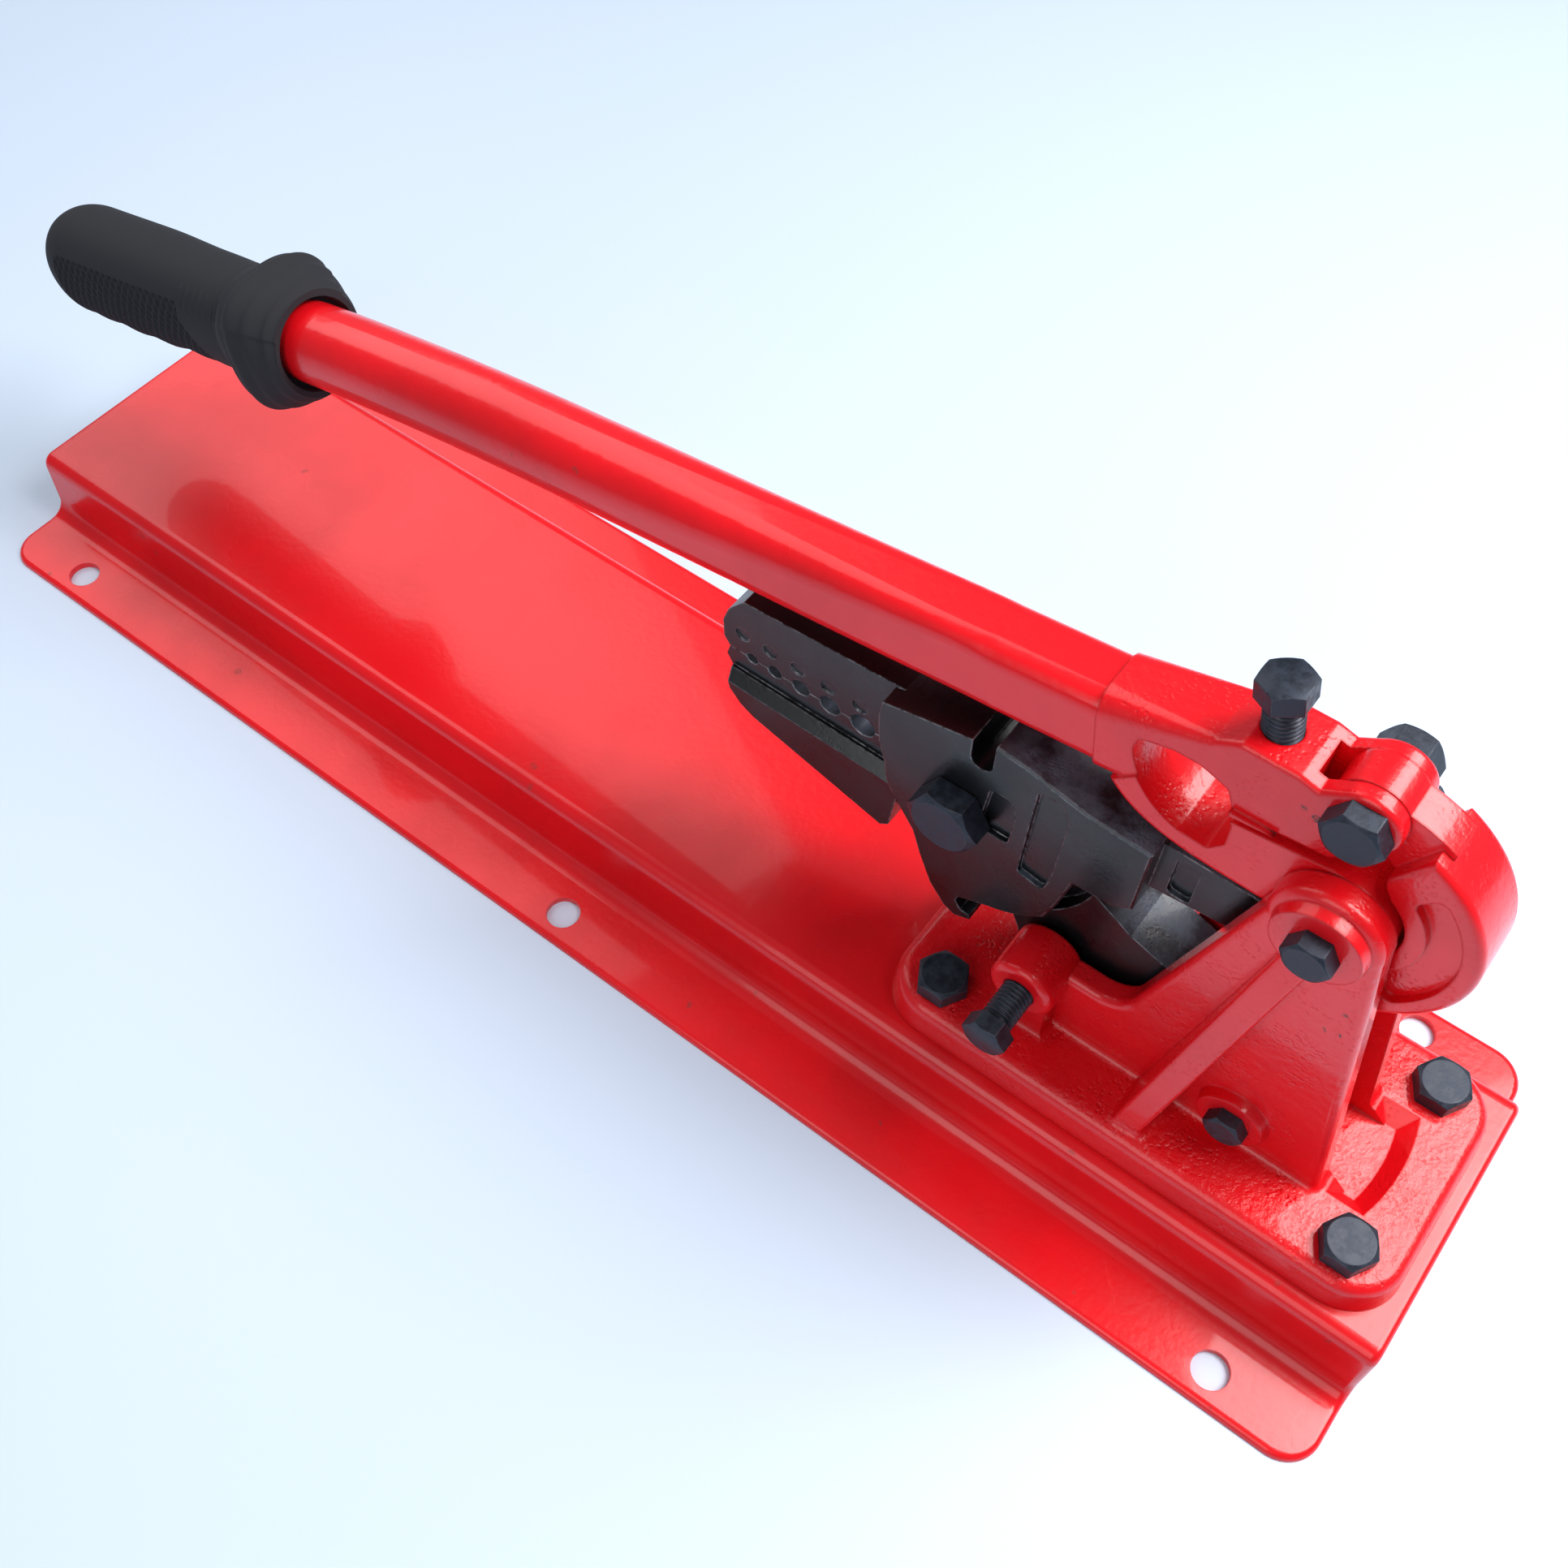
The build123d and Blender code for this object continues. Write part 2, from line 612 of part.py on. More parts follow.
# socket block, from the tube's rounded section to the limbs' flat sides
with BuildPart() as socket:
    with BuildSketch(tube_plane):
        RectangleRounded(tube_end_width + 2, tube_end_height + 4, 8.5)
    with BuildSketch(Plane(origin=(212, 0, 209), x_dir=(0, -1, 0), z_dir=(-1, 0, 0))):
        RectangleRounded(2 * limb_half, 35, head_edge)
    loft()

with BuildPart() as upper_limb:
    with BuildSketch(side(0)):
        with BuildLine():
            Polyline((210, 194), (210, 226), (217.5, 231), (235, 231), (241, 229.3),
                     (link_pivot[0] - 6, link_pivot[1] + 9.4), (link_pivot[0] + 8, link_pivot[1] - 8),
                     (250, 205), (222, 201), close=True)
        make_face()
        with Locations(link_pivot):
            Circle(ear_radius)
    extrude(amount=limb_half, both=True)
    top_rim = rim_edges(upper_limb, limb_half).filter_by(lambda e: e.center().Z > 214 and e.center().X > 211)
    fillet(top_rim, head_edge - 0.5)

with BuildPart() as lower_limb:
    with BuildSketch(side(0)):
        with BuildLine():
            Spline((184.5, 187), (191, 181), (201, 176), (216, 173), (242, 171.8),
                   (fulcrum[0], fulcrum[1] - hub_radius))
            Polyline((fulcrum[0], fulcrum[1] - hub_radius), (fulcrum[0], fulcrum[1] + hub_radius), (222, 203.5),
                     (200, 203.5), (184.5, 187))
        make_face()
    extrude(amount=lower_limb_half, both=True)
    low_rim = rim_edges(lower_limb, lower_limb_half).filter_by(lambda e: e.center().Z < 185 and e.length > 30)
    fillet(low_rim, head_edge + 0.5)

with BuildPart() as lever_head:
    add(socket.part)
    add(upper_limb.part)
    add(lower_limb.part)
    with BuildSketch(side(0)):
        with Locations(fulcrum):
            Circle(hub_radius)
    extrude(amount=hub_half, both=True)
    # window between the limbs
    with BuildSketch(side(0)):
        with BuildLine():
            ThreePointArc((188.8, 206), (194.5, 193), (209, 182.6))
            Polyline((209, 182.6), (219, 182), (223.5, 188), (223.5, 198), (218.5, 210), (209, 213.8),
                     (200.5, 214.2), (190, 211.5), (188.8, 206))
        make_face()
        fillet(vertices(), head_edge)
    extrude(amount=2 * hub_half, both=True, mode=Mode.SUBTRACT)
    # slit that the adjusting screw spreads
    with BuildSketch(side(0)):
        with BuildLine():
            Polyline((slit_start[0], slit_start[1] - slit_half), (slit_start[0], slit_start[1] + slit_half),
                     (slit_end[0], slit_end[1] + slit_half), (slit_end[0], slit_end[1] - slit_half), close=True)
        make_face()
    extrude(amount=2 * hub_half, both=True, mode=Mode.SUBTRACT)
    # clevis slot
    with BuildSketch(side(0)):
        with BuildLine():
            Polyline((clevis_slot_left, 204.2), (clevis_slot_left, 245), (275, 245), (275, 208.5), close=True)
        make_face()
    extrude(amount=clevis_slot_half, both=True, mode=Mode.SUBTRACT)
    # spigot that the tube slides over
    with BuildSketch(tube_plane):
        RectangleRounded(tube_end_width - 2 * tube_wall - 0.1, tube_end_height - 2 * tube_wall - 0.1, 4)
    extrude(amount=spigot_length)
    # holes
    with BuildSketch(side(0)):
        with Locations(fulcrum):
            Circle(fulcrum_bolt_radius + hole_play)
        with Locations(link_pivot):
            Circle(link_bolt_radius + hole_play)
    extrude(amount=2 * hub_half, both=True, mode=Mode.SUBTRACT)
    with BuildSketch(screw_plane):
        Circle(screw_radius + hole_play)
    extrude(amount=-screw_length - 0.4, mode=Mode.SUBTRACT)
lever_head.part.label = "lever_head"
export_step(lever_head.part, "parts/lever_head.step")

# =====================================================================
# Lever tube: round at the grip, drawn to a rounded rectangle at the head
# =====================================================================
grip_slope = 11.8              # degrees that the tube climbs out of the grip
grip_origin = (-180.0, 150.5)  # where the tube leaves the grip
tube_start = -326.0
tube_size = 32.0
draw_start = -60.0             # the section changes from round to a rounded rectangle between these
draw_end = 120.0
straight_from = 140.0
bend_radius = 1500.0

# the two straight stretches meet here, and a tangent arc joins them
climb, rise = tan(radians(grip_slope)), tan(radians(tube_slope))
bend_x = (tube_end[1] - tube_end[0] * rise - grip_origin[1] + grip_origin[0] * climb) / (climb - rise)
bend_z = tube_end[1] + (bend_x - tube_end[0]) * rise
bend_reach = bend_radius * tan(radians((grip_slope - tube_slope) / 2))


def tube_point(x):
    """The height and slope of the tube's centreline at this x."""
    back = (x - bend_x) / bend_reach
    if back <= -1:
        return bend_z + (x - bend_x) * climb, grip_slope
    if back >= 1:
        return bend_z + (x - bend_x) * rise, tube_slope
    share = (back + 1) / 2
    start_z = bend_z - bend_reach * climb
    z = start_z + 2 * bend_reach * (climb * (share - share ** 2 / 2) + rise * share ** 2 / 2)
    return z, grip_slope + (tube_slope - grip_slope) * share


def square_to(x, z, slope):
    """The plane at (x, z) square to a line that climbs towards +X by this many degrees."""
    return Plane(origin=(x, 0, z), x_dir=(0, -1, 0), z_dir=(-cos(radians(slope)), 0, -sin(radians(slope))))


def tube_section(x, wall):
    """The closed section of the tube at this x, square to its centreline, less this wall."""
    share = min(1, max(0, (x - draw_start) / (draw_end - draw_start)))
    share = share * share * (3 - 2 * share)
    width = tube_size + (tube_end_width - tube_size) * share - 2 * wall
    height = tube_size + (tube_end_height - tube_size) * share - 2 * wall
    corner = 15.9 + (7 - 15.9) * share - wall
    with BuildSketch(square_to(x, *tube_point(x))) as section:
        RectangleRounded(width, height, corner)
    return section.sketch


bend_from = bend_x - bend_reach - 2
stations = [bend_from] + [bend_x + bend_reach * i for i in (-0.5, 0, 0.5)] + [-30, 10, 50, 90, straight_from]

grip_run = (bend_from - tube_start) / cos(radians(grip_slope))
head_run = (tube_end[0] - straight_from) / cos(radians(tube_slope))

with BuildPart() as lever_tube:
    for wall, mode in ((0, Mode.ADD), (tube_wall, Mode.SUBTRACT)):
        extrude(tube_section(bend_from, wall), amount=grip_run, mode=mode)
        loft(sections=[tube_section(x, wall) for x in stations], mode=mode)
        extrude(tube_section(straight_from, wall), amount=-head_run, mode=mode)
lever_tube.part.label = "lever_tube"
export_step(lever_tube.part, "parts/lever_tube.step")

# =====================================================================
# Grip: moulded sleeve with a guard collar
# =====================================================================
# (distance back from the tube's exit, width, height, corner, drop of the centre)
grip_sections = (
    (-4, 42, 43, 19, 0),
    (6, 50, 52, 22, 0),
    (17, 56, 58, 25, 0),
    (26, 50, 52, 22, 0),
    (36, 41, 43, 18, 0),
    (60, 40, 45, 17, 1),
    (100, 42, 47, 18, 1.5),
    (140, 42, 47, 18, 1.5),
    (158, 37, 42, 17, 1),
    (167, 28, 33, 13, 1),
    (170, 16, 21, 7.5, 1),
)


def grip_plane(back, drop=0):
    """The plane square to the grip's axis, this far back from the tube's exit."""
    x = grip_origin[0] - back * cos(radians(grip_slope)) + drop * sin(radians(grip_slope))
    z = grip_origin[1] - back * sin(radians(grip_slope)) - drop * cos(radians(grip_slope))
    return square_to(x, z, grip_slope)


def grip_section(back, width, height, corner, drop):
    """A closed section of the grip."""
    with BuildSketch(grip_plane(back, drop)) as section:
        RectangleRounded(width, height, corner)
    return section.sketch


with BuildPart() as grip:
    loft(sections=[grip_section(*s) for s in grip_sections])
    with BuildSketch(grip_plane(-10)):
        Circle(16.1)
    extrude(amount=162, mode=Mode.SUBTRACT)
grip.part.label = "grip"
export_step(grip.part, "parts/grip.step")

# =====================================================================
# Bolts, nuts and screws of the mechanism
# =====================================================================
fork_face = fork_half + 0.3
fulcrum_face = cheek_outer + fulcrum_boss_height
anchor_face = cheek_outer + anchor_boss_height

for name, pivot, face, radius, head, nut in (
        ("jaw_pivot", jaw_pivot, fork_face, jaw_bolt_radius, jaw_head, jaw_nut_size),
        ("fulcrum", fulcrum, fulcrum_face, fulcrum_bolt_radius, fulcrum_head, fulcrum_nut_size),
        ("link", link_pivot, limb_half, link_bolt_radius, link_head, link_nut_size),
        ("anchor", anchor, anchor_face, anchor_bolt_radius, anchor_head, anchor_nut_size)):
    with BuildPart() as bolt:
        with Locations(facing_near(pivot, -face)):
            add(hex_bolt(*head, radius, 2 * face + nut[1] + bolt_end))
    bolt.part.label = name + "_bolt"
    export_step(bolt.part, f"parts/{name}_bolt.step")
    with BuildPart() as nut_on_bolt:
        with Locations(facing_far(pivot, face)):
            add(hex_nut(*nut, radius))
    nut_on_bolt.part.label = name + "_nut"
    export_step(nut_on_bolt.part, f"parts/{name}_nut.step")

for name, seat, head, radius, length in (
        ("clamp_screw_near", facing_near(clamp_axis, -clamp_head_seat), clamp_head, clamp_screw_radius,
         clamp_head_seat - tail_half - clamp_gap),
        ("clamp_screw_far", facing_far(clamp_axis, clamp_head_seat), clamp_head, clamp_screw_radius,
         clamp_head_seat - tail_half - clamp_gap),
        ("adjusting_screw", screw_plane, screw_head, screw_radius, screw_length)):
    with BuildPart() as screw:
        with Locations(seat):
            add(hex_bolt(*head, radius, length))
    screw.part.label = name
    export_step(screw.part, f"parts/{name}.step")
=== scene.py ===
import json
from math import atan2, cos, exp, hypot, pi, radians, sin, tan

import bpy
from mathutils import Matrix, Vector


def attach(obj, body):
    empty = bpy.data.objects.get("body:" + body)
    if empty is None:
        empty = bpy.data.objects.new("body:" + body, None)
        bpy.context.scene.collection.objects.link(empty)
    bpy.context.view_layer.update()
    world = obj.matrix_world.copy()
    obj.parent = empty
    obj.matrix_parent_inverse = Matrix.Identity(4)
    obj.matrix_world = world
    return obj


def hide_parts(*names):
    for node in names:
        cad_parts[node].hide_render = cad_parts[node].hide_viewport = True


bl_info = {
    "name": "Bench hand swager",
    "version": (1, 0, 0),
    "blender": (4, 5, 0),
    "location": "View3D > Sidebar > Swager",
    "description": "Finishes, threaded screws and moulded grip of a bench-mounted hand swager",
    "category": "Object",
}

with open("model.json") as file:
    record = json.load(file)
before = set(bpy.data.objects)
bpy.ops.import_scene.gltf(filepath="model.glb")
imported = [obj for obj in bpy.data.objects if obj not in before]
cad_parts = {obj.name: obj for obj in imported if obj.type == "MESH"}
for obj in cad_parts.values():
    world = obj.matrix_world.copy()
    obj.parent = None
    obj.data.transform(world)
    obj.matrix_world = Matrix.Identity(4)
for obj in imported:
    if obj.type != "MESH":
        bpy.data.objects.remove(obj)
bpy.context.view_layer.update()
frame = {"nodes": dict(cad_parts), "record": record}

MM = 0.001
LEVEL = 1e-5                  # corners this close, in metres, count as level
JOINTS = frame["record"]["behaviour"]["joints"]
SHEET_NODES = ("base_plate", "lever_tube")
CAST_NODES = ("frame_casting", "toggle_link", "lever_head")
SCREWS = {"adjusting_screw": "adjuster", "clamp_screw_near": "clamp_near", "clamp_screw_far": "clamp_far"}

# ---- Where a finish changes, in metres. A pair runs from where it is absent to where it is full ----
FLANGE_TOP = (0.060, 0.052)   # the casting's rougher flange, by height
SCALE_FROM = {"upper_jaw": 0.145, "lower_jaw": 0.190}
SCALE_FADE = 0.016
PARTING = next(joint["pos_m"][2] for joint in JOINTS if joint["name"] == "jaw_swing")
CAVITY_REACH = (0.0058, 0.0052)    # the die cavities, above and below the parting face
CAVITY_FRONT = (0.0395, 0.041)
CAVITY_BACK = (0.104, 0.102)

# ---- Threaded screws ----
SCREW_TURNS = 60              # points round a screw
THREAD_ROWS = 8               # rings to a pitch
CROWN_SHARE = 0.47            # radius of the head's flat top, as a share of the width across flats
CROWN_SLOPE = radians(28)
THREAD_CREST = 1.15           # a thread's height at its middle, over 1 for a flat crest
THREAD_FLANK = 2.4            # how steeply it falls to each side
RUNOUT = 1.2                  # the thread fades over this many depths at the tip

# ---- Moulded grip. Lengths are millimetres, and run back from the tube's exit ----
GRIP_SLOPE = radians(11.8)    # the tube's lean
GRIP_LIP = 4.0                # from the grip's front face back to the tube's exit
GRIP_FRONT, GRIP_END = -3.8, 169.6
GRIP_DOME = 143.0             # start of the domed end
DOME_POWER = 2.3
GRIP_ROWS, GRIP_TURNS = 400, 300
# Rings inside the mouth: place along the grip, radius
GRIP_MOUTH = ((GRIP_FRONT + 6.0, 16.2), (GRIP_FRONT + 5.0, 18.2), (GRIP_FRONT + 0.4, 18.8))
# Sections: place along the grip, half width and half height as shares of the collar's half width, squareness
GRIP_SECTIONS = (
    (-3.8, 0.76, 0.77, 2.1), (0.5, 0.84, 0.85, 2.3), (8.0, 0.94, 0.96, 2.7), (15.0, 1.0, 1.03, 2.9),
    (20.0, 0.97, 1.0, 2.7), (27.0, 0.84, 0.87, 2.4), (36.0, 0.735, 0.775, 2.2), (60.0, 0.72, 0.80, 2.3),
    (100.0, 0.755, 0.84, 2.3), (143.0, 0.76, 0.845, 2.2), (169.6, 0.76, 0.845, 2.0))
WAVE_CREST, WAVE_PITCH = 50, 23
PANEL_LOW, PANEL_HIGH = radians(-80), radians(38)    # the knurled panel's edges, as angles above level
PANEL_START, PANEL_SLANT, PANEL_END = 60, 14, 152
PANEL_BEND = 138              # its end's corners are rounded from here
KNURL_LEAN = 0.62             # way along the grip for one round it
NECK_FROM, NECK_TO, NECK_PITCH, NECK_RIB = 33, 62, 4.2, 0.45
CREASE_END, CREASE_DEPTH = 26, 0.7
SLOT_PLACE, SLOT_DEPTH = 157, 2.2

# ---- Stage ----
# Each light's place, the point it faces and the side of its square, in metres, and the setting for its power
LIGHTS = {
    "key_light": ((0.75, 0.50, 1.20), (0.2, 0.0, 0.1), 0.9, "key_power"),
    "fill_light": ((-1.1, 0.3, 1.2), (-0.1, 0.0, 0.1), 1.2, "fill_power"),
    "front_light": ((0.1, -1.3, 0.9), (0.1, 0.0, 0.1), 1.0, "front_power")}
ROOM_COLOUR = (0.78, 0.86, 1.0, 1.0)
CAMERA_PLACE = (0.2799, -0.2923, 0.6023)
# The camera's right, up and back
CAMERA_AXES = ((0.79370, 0.60828, -0.00593), (-0.50302, 0.66177, 0.55590), (0.34207, -0.43824, 0.83123))


# ---------------------------------------------------------------------
# Settings
# ---------------------------------------------------------------------
def colour_setting(name, description, default):
    return bpy.props.FloatVectorProperty(
        name=name, description=description, subtype="COLOR", size=3, min=0.0, max=1.0, default=default)


def length_setting(name, description, millimetres):
    return bpy.props.FloatProperty(
        name=name, description=description, subtype="DISTANCE", unit="LENGTH", precision=5, min=0.0,
        default=millimetres * MM)


class SWAGER_PG_finishes(bpy.types.PropertyGroup):
    """Colours of the machine's finishes"""

    paint: colour_setting("Paint", "Red enamel on the sheet, the casting and the lever", (0.87, 0.006, 0.012))
    paint_thin: colour_setting("Thin paint", "The enamel where it lies thin", (0.66, 0.003, 0.007))
    chip: colour_setting("Chips", "Primer and iron in the paint's chips", (0.10, 0.030, 0.022))
    black: colour_setting("Jaw black", "Oiled black of the forged jaws", (0.004, 0.004, 0.005))
    worn: colour_setting("Worn steel", "Steel where the black has rubbed off", (0.42, 0.43, 0.46))
    scale: colour_setting("Forge scale", "Grey scale on the jaws' unmachined faces", (0.085, 0.10, 0.13))
    oxide: colour_setting("Oxide", "Blue-grey oxide of the bolts and screws", (0.016, 0.020, 0.030))
    vinyl: colour_setting("Vinyl", "Black moulded vinyl of the grip", (0.004, 0.005, 0.007))


class SWAGER_PG_screws(bpy.types.PropertyGroup):
    """Threaded screws of the adjuster and the clamps"""

    pitch: length_setting("Pitch", "Distance between threads", 1.75)
    depth: length_setting("Thread depth", "From crest to root", 0.95)
    radius: length_setting("Thread radius", "Outside radius of the thread", 6.0)
    flats: length_setting("Across flats", "Width of the hexagon heads", 15.0)
    adjuster_head: length_setting("Adjuster head", "Height of the adjusting screw's head", 7.5)
    clamp_head: length_setting("Clamp head", "Height of a clamp screw's head", 7.0)


class SWAGER_PG_grip(bpy.types.PropertyGroup):
    """Moulded grip with a guard collar"""

    collar: length_setting("Collar", "Half width of the guard collar", 27.6)
    body: length_setting("Body", "Half width of the grip's body", 21.0)
    knurl_pitch: length_setting("Knurl pitch", "Distance between the knurled panel's ridges", 4.3)
    knurl_depth: length_setting("Knurl depth", "Depth of the panel between its ridges", 0.9)
    wave_depth: length_setting("Finger waves", "Height of the waves under the grip", 1.1)


class SWAGER_PG_stage(bpy.types.PropertyGroup):
    """Floor, light and camera"""

    floor_colour: colour_setting("Floor", "Plain pale floor", (0.60, 0.70, 0.84))
    floor_size: bpy.props.FloatProperty(
        name="Floor size", description="Side of the square floor", default=12.0, subtype="DISTANCE",
        unit="LENGTH")
    key_power: bpy.props.FloatProperty(
        name="Key light", description="Power of the large light over the mechanism", default=30.0,
        subtype="POWER")
    fill_power: bpy.props.FloatProperty(
        name="Fill light", description="Power of the light over the grip", default=9.0, subtype="POWER")
    front_power: bpy.props.FloatProperty(
        name="Front light", description="Power of the light on the near side", default=7.0, subtype="POWER")
    room: bpy.props.FloatProperty(name="Room light", description="Strength of the even light", default=0.24)
    lens: bpy.props.FloatProperty(
        name="Lens", description="Focal length on a 36 mm sensor", default=38.62, subtype="DISTANCE_CAMERA")


# ---------------------------------------------------------------------
# Shader node groups
# ---------------------------------------------------------------------
def node_group(name, inputs, outputs):
    """An empty shader node group, from its float inputs' default values and its outputs' socket types."""
    group = bpy.data.node_groups.new(name, "ShaderNodeTree")
    for label, value in inputs.items():
        socket = group.interface.new_socket(label, in_out="INPUT", socket_type="NodeSocketFloat")
        socket.default_value = value
    for label, kind in outputs.items():
        group.interface.new_socket(label, in_out="OUTPUT", socket_type="NodeSocket" + kind)
    return group, group.nodes.new("NodeGroupInput"), group.nodes.new("NodeGroupOutput")


def add_node(tree, kind, values=None, **settings):
    """A node with its settings and its unlinked input values."""
    node = tree.nodes.new("ShaderNode" + kind)
    for name, value in settings.items():
        setattr(node, name, value)
    for socket, value in (values or {}).items():
        node.inputs[socket].default_value = value
    return node


def math_node(tree, operation, first, second=None, clamp=False):
    """One maths step on sockets or numbers, and its output."""
    node = add_node(tree, "Math", operation=operation, use_clamp=clamp)
    for index, value in enumerate((first, second)):
        if isinstance(value, bpy.types.NodeSocket):
            tree.links.new(value, node.inputs[index])
        elif value is not None:
            node.inputs[index].default_value = value
    return node.outputs[0]


def product(tree, result, *factors):
    """Masks and numbers multiplied together, in order."""
    for factor in factors:
        result = math_node(tree, "MULTIPLY", result, factor)
    return result


def spread(tree, value, low, high, to_low=0.0, to_high=1.0):
    """A socket's values from low to high, eased over a new range and held past its ends."""
    node = add_node(tree, "MapRange", {"From Min": low, "From Max": high, "To Min": to_low, "To Max": to_high},
                    interpolation_type="SMOOTHSTEP")
    tree.links.new(value, node.inputs["Value"])
    return node.outputs["Result"]


def noise(tree, place, scale, detail=3.0, roughness=0.55, stretch=None):
    """A noise texture's value over the object."""
    if stretch:
        mapping = add_node(tree, "Mapping", {"Scale": stretch})
        tree.links.new(place, mapping.inputs["Vector"])
        place = mapping.outputs["Vector"]
    node = add_node(tree, "TexNoise", {"Detail": detail, "Roughness": roughness})
    tree.links.new(place, node.inputs["Vector"])
    if isinstance(scale, bpy.types.NodeSocket):
        tree.links.new(scale, node.inputs["Scale"])
    else:
        node.inputs["Scale"].default_value = scale
    return node.outputs["Fac"]


def edge_group():
    """Where a surface turns an edge: the softened normal, and a broken mask of the edge."""
    group, given, out = node_group(
        "edge_wear", {"Radius": 0.0008, "Breakup": 220.0, "Gain": 9.0}, {"Normal": "Vector", "Mask": "Float"})
    bevel = add_node(group, "Bevel", samples=6)
    group.links.new(given.outputs["Radius"], bevel.inputs["Radius"])
    geometry = add_node(group, "NewGeometry")
    dot = add_node(group, "VectorMath", operation="DOT_PRODUCT")
    group.links.new(bevel.outputs["Normal"], dot.inputs[0])
    group.links.new(geometry.outputs["Normal"], dot.inputs[1])
    turned = math_node(group, "SUBTRACT", 1.0, dot.outputs["Value"])
    turned = math_node(group, "MULTIPLY", turned, given.outputs["Gain"], clamp=True)
    place = add_node(group, "TexCoord").outputs["Object"]
    broken = spread(group, noise(group, place, given.outputs["Breakup"], 4.0, 0.7), 0.38, 0.62)
    group.links.new(product(group, turned, broken), out.inputs["Mask"])
    group.links.new(bevel.outputs["Normal"], out.inputs["Normal"])
    return group


def film_group():
    """A sprayed film: its soft ripple, its broad thick and thin areas, and its small chips."""
    group, given, out = node_group(
        "paint_film", {"Ripple": 330.0, "Drift": 9.0, "Chips": 0.0},
        {"Height": "Float", "Thin": "Float", "Chip": "Float"})
    place = add_node(group, "TexCoord").outputs["Object"]
    group.links.new(noise(group, place, given.outputs["Ripple"], 2.0, 0.5), out.inputs["Height"])
    thin = spread(group, noise(group, place, given.outputs["Drift"], 4.0, 0.6), 0.35, 0.7)
    group.links.new(thin, out.inputs["Thin"])
    cells = add_node(group, "TexVoronoi", {"Scale": 95.0, "Randomness": 1.0}, feature="F1")
    group.links.new(place, cells.inputs["Vector"])
    fleck = spread(group, cells.outputs["Distance"], 0.20, 0.14)
    rare = math_node(group, "GREATER_THAN", noise(group, place, 31.0, 2.0), 0.66)
    ragged = spread(group, noise(group, place, 1400.0, 3.0), 0.42, 0.5)
    group.links.new(product(group, fleck, rare, ragged, given.outputs["Chips"]), out.inputs["Chip"])
    return group


def cast_group():
    """Sand-cast or forged skin: coarse lumps with pits."""
    group, given, out = node_group(
        "cast_skin", {"Lumps": 260.0, "Pits": 620.0}, {"Height": "Float", "Pit": "Float"})
    place = add_node(group, "TexCoord").outputs["Object"]
    lumps = noise(group, place, given.outputs["Lumps"], 4.0, 0.6)
    cells = add_node(group, "TexVoronoi", {"Randomness": 1.0}, feature="SMOOTH_F1")
    group.links.new(place, cells.inputs["Vector"])
    group.links.new(given.outputs["Pits"], cells.inputs["Scale"])
    pit = spread(group, cells.outputs["Distance"], 0.12, 0.45)
    patch = spread(group, noise(group, place, 70.0, 3.0), 0.45, 0.62)
    pit = product(group, math_node(group, "SUBTRACT", 1.0, pit), patch)
    height = math_node(group, "SUBTRACT", lumps, product(group, pit, 0.6))
    group.links.new(height, out.inputs["Height"])
    group.links.new(pit, out.inputs["Pit"])
    return group


def place_group(tree, group, **values):
    """A node group placed in a material with its own values."""
    node = tree.nodes.new("ShaderNodeGroup")
    node.node_tree = group
    for label, value in values.items():
        node.inputs[label].default_value = value
    return node


# ---------------------------------------------------------------------
# Material helpers
# ---------------------------------------------------------------------
def new_material(name, **sockets):
    """A node material, its tree and its shader, with the shader's constant values set."""
    material = bpy.data.materials.new(name)
    material.use_nodes = True
    shader = material.node_tree.nodes["Principled BSDF"]
    for label, value in sockets.items():
        shader.inputs[label.replace("_", " ")].default_value = value
    return material, material.node_tree, shader


def place_axes(tree):
    """The object's own coordinates, and the x, y and z of the place and of the way the surface faces."""
    place = add_node(tree, "TexCoord").outputs["Object"]
    axes, facing = add_node(tree, "SeparateXYZ"), add_node(tree, "SeparateXYZ")
    tree.links.new(place, axes.inputs["Vector"])
    tree.links.new(add_node(tree, "NewGeometry").outputs["Normal"], facing.inputs["Vector"])
    return place, axes.outputs, facing.outputs


def mix_colours(tree, mask, first, second):
    """Two colours mixed by a mask, each a colour or a socket."""
    node = add_node(tree, "Mix", data_type="RGBA")
    tree.links.new(mask, node.inputs["Factor"])
    for socket, value in ((node.inputs[6], first), (node.inputs[7], second)):
        if isinstance(value, bpy.types.NodeSocket):
            tree.links.new(value, socket)
        else:
            socket.default_value = (*value, 1.0)
    return node.outputs[2]


def bump(tree, height, distance, normal, strength=1.0):
    """A bump from a height in metres of relief, on top of a softened normal."""
    node = add_node(tree, "Bump", {"Distance": distance, "Strength": strength})
    tree.links.new(height, node.inputs["Height"])
    tree.links.new(normal, node.inputs["Normal"])
    return node.outputs["Normal"]


def dress(node, material):
    """Puts one material on every slot of a CAD node."""
    mesh = frame["nodes"][node].data
    for index in range(len(mesh.materials)):
        mesh.materials[index] = material
    if not mesh.materials:
        mesh.materials.append(material)


